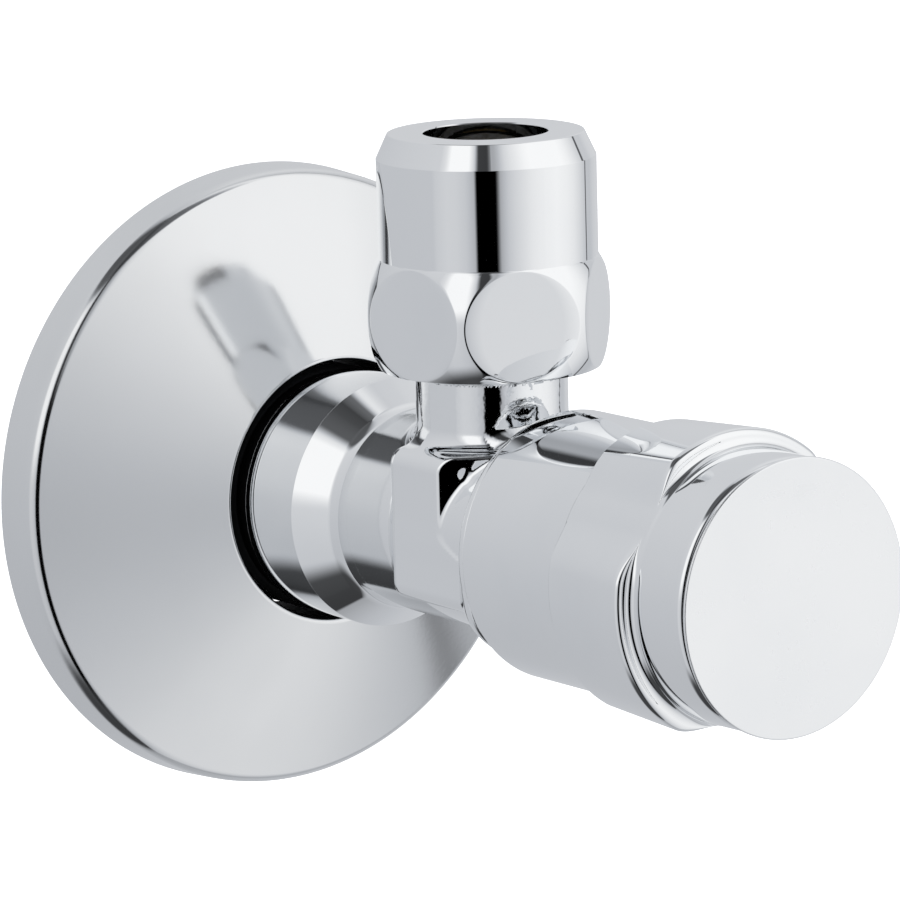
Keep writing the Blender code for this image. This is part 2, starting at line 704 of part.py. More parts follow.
def slotted_screw(name, head_radius, shank_radius, head_outer, head_inner, end, parts, tools, valve):
    """A slotted screw on the valve's axis, from the head's outer face to the end of its shank."""
    way = 1.0 if head_outer > head_inner else -1.0
    profile = [
        (0.0, head_outer),
        (head_radius - SCREW_CHAMFER, head_outer),
        (head_radius, head_outer - SCREW_CHAMFER * way),
        (head_radius, head_inner),
        (shank_radius, head_inner),
        (shank_radius, end + SCREW_CHAMFER * way),
        (shank_radius - SCREW_CHAMFER, end),
        (0.0, end),
    ]
    if way < 0.0:
        profile.reverse()
    screw = turned(name, profile, parts, valve, steps=SMALL_STEPS)
    reach = head_radius + OVERRUN
    wide = SLOT_HALF_WIDTH
    outline = [(-reach, -wide), (reach, -wide), (reach, wide), (-reach, wide)]
    ends = sorted((head_outer - SLOT_DEPTH * way, head_outer + OVERRUN * way))
    slot = prism(name + "_slot", outline, *ends, tools, valve)
    combine(screw, slot, "DIFFERENCE")
    finish_part(screw, STAINLESS)


def make_handle_insert(parts, tools, valve):
    """The plastic driver that carries the handle on the spindle's serrations."""
    insert = turned("handle_insert", [
        (0.0, INSERT_FRONT),
        (INSERT_FLANGE_RADIUS, INSERT_FRONT),
        (INSERT_FLANGE_RADIUS, HANDLE_WEB_FRONT + GAP),
        (0.0, HANDLE_WEB_FRONT + GAP),
    ], parts, valve)
    hexagon = prism(
        "insert_hexagon", regular_outline(6, WEB_HEX_HALF_WIDTH - GAP),
        SHAFT_FRONT + GAP, INSERT_FRONT - 0.5, tools, valve,
    )
    combine(insert, hexagon, "UNION")
    bore = turned("insert_bore", [
        (0.0, INSERT_FRONT + OVERRUN),
        (SPLINE_RADIUS + GAP, INSERT_FRONT + OVERRUN),
        (SPLINE_RADIUS + GAP, SHAFT_FRONT - OVERRUN),
        (0.0, SHAFT_FRONT - OVERRUN),
    ], tools, valve, steps=SMALL_STEPS)
    combine(insert, bore, "DIFFERENCE")
    finish_part(insert, GREY_PLASTIC)


def lobed_outline():
    """The handle's plan: three lobes left standing between three finger scallops."""
    points = []
    for i in range(LOBE_POINTS):
        angle = 2.0 * math.pi * i / LOBE_POINTS
        pitch = 2.0 * math.pi / SCALLOP_COUNT
        offset = abs((angle - SCALLOP_TURN + pitch / 2.0) % pitch - pitch / 2.0)
        rise = min(1.0, max(0.0, (offset - SCALLOP_HALF_ANGLE) / SCALLOP_BLEND))
        rise = rise * rise * (3.0 - 2.0 * rise)
        radius = SCALLOP_RADIUS + rise * (LOBE_FRONT_RADIUS + 0.5 - SCALLOP_RADIUS)
        points.append((radius * math.cos(angle), radius * math.sin(angle)))
    return points


def make_handle_shell(parts, tools, valve):
    """The chromed handle: skirt, three lobes, and a nose that holds the cap."""
    handle = turned("handle_shell", [
        (HANDLE_FRONT_BORE, HANDLE_FRONT),
        (HANDLE_NOSE_RADIUS, HANDLE_FRONT, 0.4),
        (HANDLE_RADIUS, LOBE_FRONT + 0.4),
        (HANDLE_RADIUS + 0.3, LOBE_FRONT),
        (LOBE_FRONT_RADIUS, LOBE_FRONT, 0.5),
        (LOBE_BACK_RADIUS, LOBE_BACK),
        (HANDLE_RADIUS, LOBE_BACK - 0.2),
        (HANDLE_RADIUS, HANDLE_BACK),
        (HANDLE_SKIRT_BORE, HANDLE_BACK),
        (HANDLE_SKIRT_BORE, HANDLE_WEB_BACK),
        (WEB_HEX_HALF_WIDTH - 1.0, HANDLE_WEB_BACK),
        (WEB_HEX_HALF_WIDTH - 1.0, HANDLE_WEB_FRONT),
        (HANDLE_FRONT_BORE, HANDLE_WEB_FRONT),
    ], parts, valve, closed=True, steps=RIM_STEPS)
    lobes = prism(
        "lobed_plan", lobed_outline(), HANDLE_BACK - OVERRUN, HANDLE_FRONT + OVERRUN, tools, valve,
    )
    combine(handle, lobes, "INTERSECT")
    hexagon = prism(
        "web_hexagon", regular_outline(6, WEB_HEX_HALF_WIDTH),
        HANDLE_WEB_BACK - OVERRUN, HANDLE_WEB_FRONT + OVERRUN, tools, valve,
    )
    combine(handle, hexagon, "DIFFERENCE")
    finish_part(handle, POLISHED_CHROME)


def make_cap_carrier(parts, valve):
    """The plastic plug that snaps into the handle's nose behind the cap."""
    carrier = turned("cap_carrier", [
        (0.0, HANDLE_FRONT),
        (HANDLE_FRONT_BORE - GAP, HANDLE_FRONT),
        (HANDLE_FRONT_BORE - GAP, CARRIER_BACK),
        (HANDLE_FRONT_BORE - GAP - CARRIER_WALL, CARRIER_BACK),
        (HANDLE_FRONT_BORE - GAP - CARRIER_WALL, HANDLE_FRONT - CARRIER_WALL),
        (0.0, HANDLE_FRONT - CARRIER_WALL),
    ], parts, valve)
    finish_part(carrier, WHITE_PLASTIC)


def make_cap_disc(parts, valve):
    """The plain satin disc on the front of the handle."""
    cap = turned("cap_disc", [
        (0.0, CAP_FRONT),
        (CAP_RADIUS, CAP_FRONT, 0.3),
        (CAP_RADIUS, CAP_RIM_BACK, 0.15),
        (CAP_NECK_RADIUS, CAP_RIM_BACK),
        (CAP_NECK_RADIUS, CAP_BACK),
        (0.0, CAP_BACK),
    ], parts, valve, steps=RIM_STEPS)
    finish_part(cap, SATIN_CHROME)


def clear_scene():
    for obj in list(bpy.data.objects):
        bpy.data.objects.remove(obj, do_unlink=True)


def main():
    clear_scene()
    parts = new_collection("angle_stop_valve")
    tools = new_collection("cutters")
    valve = new_axis("valve_axis", (0.0, 0.0, 0.0), (math.pi / 2.0, 0.0, 0.0))
    outlet = new_axis("outlet_axis", (0.0, -OUTLET_DEPTH * MM, 0.0), (0.0, 0.0, 0.0))

    make_valve_body(parts, tools, valve, outlet)
    make_inlet_seal_ring(parts, valve)
    make_wall_escutcheon(parts, valve)

    make_compression_nut(parts, tools, outlet)
    make_compression_ring(parts, outlet)
    make_pressure_ring(parts, outlet)

    make_bonnet(parts, tools, valve)
    make_rubber_ring(
        "bonnet_seal_ring", BONNET_UNDERCUT_RADIUS, BODY_RING_POCKET_RADIUS,
        (BODY_RING_POCKET_BACK + BONNET_HEX_BACK) / 2.0, parts, valve,
    )
    make_spindle(parts, tools, valve)
    for name, depth in zip(("spindle_seal_ring_inner", "spindle_seal_ring_outer"), SPINDLE_RING_DEPTHS):
        make_rubber_ring(name, SHAFT_GROOVE_RADIUS, BEARING_BORE, depth, parts, valve)
    make_spindle_clip(parts, valve)
    make_thrust_washer(parts, valve)

    make_plunger(parts, tools, valve)
    make_rubber_ring(
        "plunger_seal_ring", PLUNGER_GROOVE_RADIUS, BONNET_BORE, PLUNGER_RING_DEPTH, parts, valve,
    )
    make_seat_washer(parts, valve)
    slotted_screw(
        "washer_screw", WASHER_SCREW_HEAD_RADIUS, WASHER_SCREW_RADIUS,
        WASHER_SCREW_HEAD, WASHER_BACK - GAP, WASHER_SCREW_END, parts, tools, valve,
    )

    make_handle_shell(parts, tools, valve)
    make_handle_insert(parts, tools, valve)
    slotted_screw(
        "handle_screw", HANDLE_SCREW_HEAD_RADIUS, SPINDLE_TAP_RADIUS - GAP,
        HANDLE_SCREW_HEAD, INSERT_FRONT + GAP,
        SPINDLE_FRONT - SPINDLE_TAP_DEPTH + HANDLE_SCREW_END_CLEARANCE, parts, tools, valve,
    )
    make_cap_carrier(parts, valve)
    make_cap_disc(parts, valve)


main()
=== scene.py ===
"""Looks of the angle stop valve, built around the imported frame.

Frame axes: the valve stands out of the wall along -Y, its outlet points up along +Z, and the
origin is on the inlet's axis at the wall. Outlines are in millimetres: a depth is a distance in
front of the wall, and a height is a distance above the inlet's axis.
"""

import json
import math

import bpy
import numpy as np
from mathutils import Matrix, Vector

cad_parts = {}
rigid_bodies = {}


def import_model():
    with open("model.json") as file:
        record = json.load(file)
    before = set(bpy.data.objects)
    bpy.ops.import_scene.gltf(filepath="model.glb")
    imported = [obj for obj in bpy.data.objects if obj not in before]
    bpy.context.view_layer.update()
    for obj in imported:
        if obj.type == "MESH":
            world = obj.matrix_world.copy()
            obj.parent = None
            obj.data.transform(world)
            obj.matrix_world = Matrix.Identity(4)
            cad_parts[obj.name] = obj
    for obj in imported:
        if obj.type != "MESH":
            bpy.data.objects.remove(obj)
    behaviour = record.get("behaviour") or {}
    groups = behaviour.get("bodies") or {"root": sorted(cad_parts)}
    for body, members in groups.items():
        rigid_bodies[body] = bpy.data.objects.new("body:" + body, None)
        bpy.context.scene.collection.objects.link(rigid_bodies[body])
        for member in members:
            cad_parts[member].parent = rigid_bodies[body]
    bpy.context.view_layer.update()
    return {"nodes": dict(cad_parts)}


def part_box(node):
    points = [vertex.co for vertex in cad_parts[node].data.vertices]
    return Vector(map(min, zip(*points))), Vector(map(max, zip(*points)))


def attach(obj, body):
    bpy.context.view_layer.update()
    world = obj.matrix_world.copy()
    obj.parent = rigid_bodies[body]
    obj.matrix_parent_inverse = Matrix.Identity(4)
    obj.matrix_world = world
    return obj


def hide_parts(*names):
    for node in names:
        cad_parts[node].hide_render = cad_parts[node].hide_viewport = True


for leftover in list(bpy.data.objects):
    bpy.data.objects.remove(leftover)

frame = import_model()

MM = 0.001
TURN = 2.0 * math.pi


def node_box(node):
    """A CAD node's lowest and highest corners in millimetres."""
    low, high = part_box(node)
    return [v / MM for v in low], [v / MM for v in high]


# Places and sizes read from the frame
nut_low, nut_high = node_box("compression_nut")
plate_low, plate_high = node_box("wall_escutcheon")
body_low, body_high = node_box("valve_body")
handle_low, handle_high = node_box("handle_shell")
cap_low, cap_high = node_box("cap_disc")
seal_low, seal_high = node_box("inlet_seal_ring")

NUT_BOTTOM = nut_low[2]
NUT_TOP = nut_high[2]
PLATE_RADIUS = plate_high[0]
PLATE_LIP = -plate_low[1]
TAIL_END = -body_high[1]
BODY_FRONT = -body_low[1]
SPIGOT_TOP = body_high[2]
HANDLE_BACK = -handle_high[1]
HANDLE_FRONT = -handle_low[1]
CAP_BACK = -cap_high[1]
CAP_FRONT = -cap_low[1]
CAP_RADIUS = cap_high[0]

OUTLET_DEPTH = 32.08

TO_VALVE = Matrix.Rotation(math.pi / 2.0, 4, "X")
TO_OUTLET = Matrix.Translation((0.0, -OUTLET_DEPTH * MM, 0.0))

# Fineness of the meshes
SEGMENTS = 192
ARC_STEP = math.radians(9.0)
CASTING_STEP = 0.18

# Threads
INLET_PITCH = 1.814
OUTLET_PITCH = 1.337

# Body: the cast middle starts where the turned tail ends, and carries the turned spigot
TAIL_RADIUS = 10.44
CASTING_BACK = 22.98
BARREL_RADIUS = 8.3
FLATS_REACH = 8.45
FLANGE_RADIUS = 10.5
NECK_RADIUS = 6.2
NECK_COLLAR_RADIUS = 6.5
SPIGOT_RADIUS = 8.0
SPIGOT_THREAD = (14.4, 20.9)

# Cover plate: how far it hangs off the tail's middle, and its sleeve round the tail
PLATE_HANG = (-0.3, 0.05)
PLATE_SHEET = 0.7
SLEEVE_RADIUS = 10.8
SLEEVE_BACK = 3.0


# ---------------------------------------------------------------------------------------------
# Turned shapes
# ---------------------------------------------------------------------------------------------

def rounded_corner(before, corner, after, radius):
    """The arc that rounds the corner between two straight stretches."""
    a = Vector((before[0] - corner[0], before[1] - corner[1])).normalized()
    b = Vector((after[0] - corner[0], after[1] - corner[1])).normalized()
    half = math.acos(max(-1.0, min(1.0, a.dot(b)))) / 2.0
    centre = Vector(corner[:2]) + (a + b).normalized() * (radius / math.sin(half))
    reach = radius / math.tan(half)
    first = Vector(corner[:2]) + a * reach - centre
    last = Vector(corner[:2]) + b * reach - centre
    start = math.atan2(first.y, first.x)
    turn = (math.atan2(last.y, last.x) - start + math.pi) % TURN - math.pi
    count = max(2, math.ceil(abs(turn) / ARC_STEP))
    angles = [start + turn * i / count for i in range(count + 1)]
    return [(centre.x + radius * math.cos(t), centre.y + radius * math.sin(t)) for t in angles]


def outline_points(corners, closed):
    """An outline's points: a corner with a third number is rounded to that radius."""
    points = []
    for index, corner in enumerate(corners):
        if len(corner) == 3 and (closed or 0 < index < len(corners) - 1):
            after = corners[(index + 1) % len(corners)]
            points += rounded_corner(corners[index - 1], corner, after, corner[2])
        else:
            points.append((corner[0], corner[1]))
    return points


def skin(name, rings, place, closed=False, sharp=25.0):
    """A mesh through a run of rings, each an array of points or a single point on the axis."""
    vertices = []
    loops = []
    columns = max(len(ring) for ring in rings)
    for ring in rings:
        start = len(vertices)
        vertices += [tuple(point) for point in np.asarray(ring) * MM]
        loops.append([start] * columns if len(ring) == 1 else list(range(start, start + columns)))
    pairs = list(zip(loops, loops[1:]))
    if closed:
        pairs.append((loops[-1], loops[0]))
    faces = []
    for upper, lower in pairs:
        for j in range(columns):
            k = (j + 1) % columns
            corners = [upper[j], lower[j], lower[k], upper[k]]
            faces.append([v for i, v in enumerate(corners) if v != corners[i - 1]])
    mesh = bpy.data.meshes.new(name)
    mesh.from_pydata(vertices, [], faces)
    mesh.transform(place)
    mesh.shade_smooth()
    mesh.set_sharp_from_angle(angle=math.radians(sharp))
    piece = bpy.data.objects.new(name, mesh)
    bpy.context.scene.collection.objects.link(piece)
    weights = piece.modifiers.new("Face weights", "WEIGHTED_NORMAL")
    weights.keep_sharp = True
    return piece


def ring_points(radii, height, angles):
    """A ring's points, from its radius at each angle."""
    heights = np.full(len(angles), height)
    return np.stack([radii * np.cos(angles), radii * np.sin(angles), heights], 1)


def lathe(name, points, place, closed=False, shape=None, segments=SEGMENTS, sharp=25.0):
    """A mesh turned from (radius, distance) points that run down its outer side.

    shape(radius, distance, angles) may move each point's radius. Open outlines start and end on
    the axis; closed ones make a ring.
    """
    angles = np.arange(segments) * (TURN / segments)
    rings = []
    for radius, height in points:
        if radius < 1e-6:
            rings.append(np.array([[0.0, 0.0, height]]))
            continue
        radii = np.full(segments, radius) if shape is None else shape(radius, height, angles)
        rings.append(ring_points(radii, height, angles))
    return skin(name, rings, place, closed, sharp)


def turned(name, corners, place, closed=False):
    return lathe(name, outline_points(corners, closed), place, closed)


def steps_between(high, low, step):
    """Evenly spaced distances from high down to low, both left out."""
    count = max(2, round((high - low) / step))
    return [high + (low - high) * i / count for i in range(1, count)]


def smooth(t):
    t = np.clip(t, 0.0, 1.0)
    return t * t * (3.0 - 2.0 * t)


def thread_shape(pitch, deep, low, high, run_in, run_out, inner=False):
    """A right-hand thread cut into a wall between two distances along its axis.

    It fades in over run_in and out over run_out.
    """
    def shape(radius, height, angles):
        if not low <= height <= high:
            return np.full(len(angles), radius)
        phase = (height / pitch - angles / TURN) % 1.0
        fade = min(1.0, (height - low) / run_in, (high - height) / run_out)
        groove = deep * smooth((np.abs(phase - 0.5) * 2.0 - 0.12) / 0.76) * fade
        return radius + groove if inner else radius - groove
    return shape


# ---------------------------------------------------------------------------------------------
# The cast body, from a distance field
# ---------------------------------------------------------------------------------------------

def join(a, b, radius):
    """Two solids joined with a concave fillet."""
    u = np.maximum(radius - a, 0.0)
    v = np.maximum(radius - b, 0.0)
    return np.maximum(radius, np.minimum(a, b)) - np.hypot(u, v)


def trim(a, b, radius):
    """What two solids share, with a rounded edge."""
    return -join(-a, -b, radius)


def slab(value, low, high):
    """Between two parallel planes."""
    return np.maximum(low - value, value - high)


def casting_field(x, y, z):
    """Signed distance to the cast body's surface in millimetres, negative inside."""
    depth = -y
    across = np.hypot(x, z)
    outlet_across = np.hypot(x, depth - OUTLET_DEPTH)

    # The barrel, a hair slimmer where it meets the tail, with two flat panels that end in a slant
    barrel = across - BARREL_RADIUS + 0.04 * smooth((CASTING_BACK - depth) / 0.5)
    flats = trim(np.abs(x) - FLATS_REACH, slab(z, -5.2, 7.3), 1.4)
    flats = trim(flats, 28.9 - depth, 0.9)
    flats_end = 35.5 + 6.0 * smooth((1.2 - z) / 4.0)
    flats = trim(flats, 0.6 * (np.abs(x) - FLATS_REACH) + 0.8 * (depth - flats_end), 0.25)
    body = join(barrel, flats, 0.35)

    # The flange behind the handle, the outlet's neck and the collar on top of it
    flange = trim(across - FLANGE_RADIUS, slab(depth, 41.0, 60.0), 0.25)
    body = join(body, flange, 3.0)
    neck = trim(outlet_across - NECK_RADIUS, -z, 0.1)
    body = join(body, neck, 1.6)
    neck_collar = trim(outlet_across - NECK_COLLAR_RADIUS, slab(z, 12.75, 20.0), 0.12)
    body = np.minimum(body, neck_collar)

    # A small dent beside each panel
    dimple = np.sqrt((np.abs(x) - 7.25) ** 2 + (depth - 37.8) ** 2 + (z - 5.85) ** 2) - 1.12
    body = trim(body, -dimple, 0.2)

    # The ends and the two bores
    body = np.maximum(body, 22.1 - depth)
    body = trim(body, depth - BODY_FRONT, 0.25)
    body = np.maximum(body, z - 13.4)
    body = np.maximum(body, 7.0 - across)
    bore = np.maximum(outlet_across - 4.0, 1.3 - z)
    return np.maximum(body, -bore)


def slope_of(field, points):
    """The field's value over its slope, and the unit normal, at each point."""
    tiny = 0.01  # mm
    value = field(*points.T)
    slope = np.empty_like(points)
    for axis in range(3):
        ahead = points.copy()
        ahead[:, axis] += tiny
        behind = points.copy()
        behind[:, axis] -= tiny
        slope[:, axis] = (field(*ahead.T) - field(*behind.T)) / (2.0 * tiny)
    size = np.maximum(np.linalg.norm(slope, axis=1), 1e-6)
    return value / size, slope / size[:, None]


SETTLE_ROUNDS = 8


def surface_net(field, low, high, step):
    """Closed quad mesh of a field's zero surface, its points moved onto that surface."""
    axes = [np.arange(a, b + step, step) for a, b in zip(low, high)]
    inside = field(*np.meshgrid(*axes, indexing="ij")) < 0.0
    shape = [n - 1 for n in inside.shape]
    count = np.zeros(shape, np.int8)
    for corner in np.ndindex(2, 2, 2):
        part = tuple(slice(c, c + n) for c, n in zip(corner, shape))
        count += inside[part]
    mixed = (count > 0) & (count < 8)
    number = np.full(mixed.shape, -1, np.int64)
    number[mixed] = np.arange(mixed.sum())
    points = np.array(low) + (np.argwhere(mixed) + 0.5) * step
    quads = []
    for axis in range(3):
        first, second = [a for a in range(3) if a != axis]
        lower = np.take(inside, range(inside.shape[axis] - 1), axis)
        upper = np.take(inside, range(1, inside.shape[axis]), axis)
        crossing = np.argwhere(lower != upper)
        within = [crossing[:, a] > 0 for a in (first, second)]
        within += [crossing[:, a] < inside.shape[a] - 1 for a in (first, second)]
        crossing = crossing[np.all(within, 0)]
        outward = lower[tuple(crossing.T)]
        loops = []
        for shift_a, shift_b in ((-1, -1), (0, -1), (0, 0), (-1, 0)):
            cell = crossing.copy()
            cell[:, first] += shift_a
            cell[:, second] += shift_b
            loops.append(number[tuple(cell.T)])
        quad = np.stack(loops, 1)
        turned_over = outward if axis == 1 else ~outward
        quad[turned_over] = quad[turned_over][:, ::-1]
        quads.append(quad)
    for _ in range(SETTLE_ROUNDS):
        distance, normals = slope_of(field, points)
        points = points - np.clip(distance, -step, step)[:, None] * normals
    return points, np.concatenate(quads), slope_of(field, points)[1]


def cast_piece(name, field, low, high, step):
    points, quads, normals = surface_net(field, low, high, step)
    mesh = bpy.data.meshes.new(name)
    mesh.from_pydata([tuple(p) for p in points * MM], [], quads.tolist())
    mesh.shade_smooth()
    mesh.normals_split_custom_set_from_vertices([tuple(n) for n in normals])
    piece = bpy.data.objects.new(name, mesh)
    bpy.context.scene.collection.objects.link(piece)
    return piece


# ---------------------------------------------------------------------------------------------
# Node trees
# ---------------------------------------------------------------------------------------------

def add(tree, kind, settings=None, inputs=None):
    """A new node; an input's value is another node's socket or a plain value."""
    node = tree.nodes.new(kind)
    for name, value in (settings or {}).items():
        setattr(node, name, value)
    for key, value in (inputs or {}).items():
        if isinstance(value, bpy.types.NodeSocket):
            tree.links.new(value, node.inputs[key])
        else:
            node.inputs[key].default_value = value
    return node


def calc(tree, operation, *values):
    return add(tree, "ShaderNodeMath", {"operation": operation}, dict(enumerate(values))).outputs[0]


def ease(tree, value, start, end, low=0.0, high=1.0):
    """Goes smoothly from low to high as value goes from start to end."""
    if start > end:
        start, end, low, high = end, start, high, low
    inputs = {0: value, 1: start, 2: end, 3: low, 4: high}
    return add(tree, "ShaderNodeMapRange", {"interpolation_type": "SMOOTHSTEP"}, inputs).outputs[0]


def ramp(tree, value, stops):
    """A colour ramp through (place from 0 to 1, colour or grey) stops."""
    node = add(tree, "ShaderNodeValToRGB", None, {0: value})
    elements = node.color_ramp.elements
    while len(elements) < len(stops):
        elements.new(0.5)
    for element, (place, colour) in zip(elements, stops):
        channels = colour if isinstance(colour, tuple) else (colour,) * 3
        element.position = place
        element.color = (*channels, 1.0)
    return node.outputs["Color"]


def noise(tree, place, scale, detail=2.0, stretch=None):
    """Noise around 0.5, with scale in cycles per metre; stretch multiplies it along each axis."""
    if stretch:
        place = add(tree, "ShaderNodeMapping", None, {"Vector": place, "Scale": stretch}).outputs[0]
    inputs = {"Vector": place, "Scale": scale, "Detail": detail}
    return add(tree, "ShaderNodeTexNoise", None, inputs).outputs[0]


# ---------------------------------------------------------------------------------------------
# Materials
# ---------------------------------------------------------------------------------------------

def start_material(name, colour, metallic, specular=0.5):
    """A material's node tree, its Principled shader and its object coordinates."""
    material = bpy.data.materials.new(name)
    material.use_nodes = True
    material.diffuse_color = (*colour, 1.0)
    tree = material.node_tree
    tree.nodes.clear()
    inputs = {"Metallic": metallic, "Specular IOR Level": specular}
    shader = add(tree, "ShaderNodeBsdfPrincipled", None, inputs)
    output = add(tree, "ShaderNodeOutputMaterial", None, {"Surface": shader.outputs[0]})
    output.is_active_output = True
    return material, tree, shader, add(tree, "ShaderNodeTexCoord").outputs["Object"]


def tone(tree, shader, factor, colour, worn):
    """Colour that goes from colour to worn as factor goes from 0 to 1."""
    inputs = {0: factor, 6: (*colour, 1.0), 7: (*worn, 1.0)}
    mix = add(tree, "ShaderNodeMix", {"data_type": "RGBA"}, inputs)
    tree.links.new(mix.outputs[2], shader.inputs["Base Color"])


def relief(tree, shader, layers):
    """Bumps laid over each other, each a height from 0 to 1 and its depth in metres."""
    normal = None
    for height, depth in layers:
        inputs = {"Height": height, "Distance": depth, "Strength": 1.0}
        if normal is not None:
            inputs["Normal"] = normal
        normal = add(tree, "ShaderNodeBump", None, inputs).outputs[0]
    tree.links.new(normal, shader.inputs["Normal"])


def plated(name, colour, dull, roughness, smear, scratch, waves, grain, recess=0.0):
    """Chrome plate: faint smears and hairline scratches over a slightly wavy surface.

    smear and scratch change the roughness, and waves and grain are heights in metres. recess is
    the extra waviness, in metres, of the as-cast surface at the outlet's foot.
    """
    material, tree, shader, place = start_material(name, colour, 1.0)
    smears = noise(tree, place, 70.0, 4.0)
    across = noise(tree, place, 1.0, 2.0, (5200.0, 240.0, 1300.0))
    along = noise(tree, place, 1.0, 2.0, (300.0, 4700.0, 900.0))
    lines = calc(tree, "MAXIMUM", ease(tree, across, 0.66, 0.74), ease(tree, along, 0.67, 0.75))
    patches = ease(tree, noise(tree, place, 150.0, 3.0), 0.45, 0.7)
    marks = calc(tree, "MULTIPLY", lines, patches)
    rough = calc(tree, "MULTIPLY_ADD", smears, smear, roughness - smear / 2.0)
    rough = calc(tree, "MULTIPLY_ADD", marks, scratch, rough)
    tree.links.new(rough, shader.inputs["Roughness"])
    tone(tree, shader, ease(tree, smears, 0.35, 0.8), colour, dull)
    layers = [(noise(tree, place, 210.0, 1.0), waves), (noise(tree, place, 2600.0, 2.0), grain)]
    if recess:
        height = add(tree, "ShaderNodeSeparateXYZ", None, {0: place}).outputs[2]
        foot = ease(tree, height, 0.0070, 0.0095)
        rough_cast = noise(tree, place, 620.0, 3.0)
        layers.append((calc(tree, "MULTIPLY", rough_cast, foot), recess))
    relief(tree, shader, layers)
    return material


def machined(name, colour, stained, roughness, pitch, axis):
    """Bare turned metal: tool marks across an axis, with dull stains."""
    material, tree, shader, place = start_material(name, colour, 1.0)
    stains = noise(tree, place, 240.0, 5.0)
    cuts = add(
        tree,
        "ShaderNodeTexWave",
        {"bands_direction": axis},
        {"Vector": place, "Scale": TURN / (20.0 * pitch), "Distortion": 0.6, "Detail": 2.0},
    ).outputs["Fac"]
    rough = calc(tree, "MULTIPLY_ADD", stains, 0.22, roughness - 0.11)
    rough = calc(tree, "MULTIPLY_ADD", cuts, 0.06, rough)
    tree.links.new(rough, shader.inputs["Roughness"])
    tone(tree, shader, ease(tree, stains, 0.4, 0.75), colour, stained)
    relief(tree, shader, [(cuts, 0.000006), (noise(tree, place, 3000.0, 2.0), 0.000004)])
    return material


def moulded(name, colour, rubbed, roughness, grain, specular=0.5):
    """Moulded plastic or rubber: cloudy colour, a fine grain and rubbed spots."""
    material, tree, shader, place = start_material(name, colour, 0.0, specular)
    clouds = noise(tree, place, 160.0, 4.0)
    specks = noise(tree, place, 4200.0, 2.0)
    rubs = ease(tree, calc(tree, "MULTIPLY_ADD", specks, 0.35, clouds), 0.62, 0.85)
    rough = calc(tree, "MULTIPLY_ADD", clouds, 0.2, roughness - 0.1)
    tree.links.new(rough, shader.inputs["Roughness"])
    tone(tree, shader, rubs, colour, rubbed)
    relief(tree, shader, [(specks, grain), (noise(tree, place, 700.0, 2.0), grain)])
    return material


CHROME, CHROME_DULL = (0.93, 0.94, 0.95), (0.89, 0.905, 0.92)
SATIN, SATIN_DULL = (0.84, 0.85, 0.86), (0.81, 0.82, 0.83)
BRASS, BRASS_STAINED = (0.80, 0.60, 0.30), (0.52, 0.36, 0.16)
STEEL, STEEL_DULL = (0.66, 0.66, 0.65), (0.50, 0.50, 0.49)
# Near-black that stands in for shade in gaps, bores and recesses
SHADE_BLACK, SHADE_BLACK_DULL = (0.025, 0.026, 0.028), (0.02, 0.02, 0.02)
RUBBER, RUBBER_RUBBED = (0.018, 0.018, 0.019), (0.07, 0.07, 0.07)
WHITE, WHITE_RUBBED = (0.82, 0.82, 0.79), (0.70, 0.70, 0.66)
GREY, GREY_RUBBED = (0.19, 0.195, 0.20), (0.28, 0.28, 0.29)

bright_chrome = plated(
    "bright_chrome", CHROME, CHROME_DULL,
    roughness=0.03, smear=0.02, scratch=0.12, waves=1.2e-6, grain=1.2e-7,
)
cast_chrome = plated(
    "cast_chrome", CHROME, CHROME_DULL,
    roughness=0.045, smear=0.03, scratch=0.12, waves=4e-6, grain=4e-7, recess=3.5e-5,
)
satin_chrome = plated(
    "satin_chrome", SATIN, SATIN_DULL,
    roughness=0.11, smear=0.03, scratch=0.06, waves=1.5e-6, grain=1.2e-6,
)
cap_chrome = plated(
    "cap_chrome", CHROME, CHROME_DULL,
    roughness=0.26, smear=0.03, scratch=0.05, waves=1e-6, grain=1.5e-6,
)
valve_brass = machined("valve_brass", BRASS, BRASS_STAINED, roughness=0.26, pitch=2.2e-4, axis="Y")
outlet_brass = machined(
    "outlet_brass", BRASS, BRASS_STAINED, roughness=0.26, pitch=2.2e-4, axis="Z"
)
steel = machined("steel", STEEL, STEEL_DULL, roughness=0.3, pitch=3e-4, axis="Y")
# Near-black metal painted where shade falls: gaps, bores and recesses
painted_shade = machined("painted_shade", SHADE_BLACK, SHADE_BLACK_DULL, roughness=0.62, pitch=3e-4, axis="Y")
rubber = moulded("rubber", RUBBER, RUBBER_RUBBED, roughness=0.55, grain=6e-6, specular=0.35)
white_plastic = moulded("white_plastic", WHITE, WHITE_RUBBED, roughness=0.42, grain=3e-6)
grey_plastic = moulded("grey_plastic", GREY, GREY_RUBBED, roughness=0.45, grain=4e-6)


def paint(piece, material, in_painted_shade=None):
    """Gives a piece its material, and near-black painted shade to faces whose middles the mask
    picks.
    """
    mesh = piece.data
    mesh.materials.clear()
    mesh.materials.append(material)
    if in_painted_shade is None:
        return
    mesh.materials.append(painted_shade)
    middles = np.empty(3 * len(mesh.polygons))
    mesh.polygons.foreach_get("center", middles)
    picked = in_painted_shade(*(middles.reshape(-1, 3) / MM).T)
    mesh.polygons.foreach_set("material_index", picked.astype(np.int32))


# ---------------------------------------------------------------------------------------------
# Pieces
# ---------------------------------------------------------------------------------------------

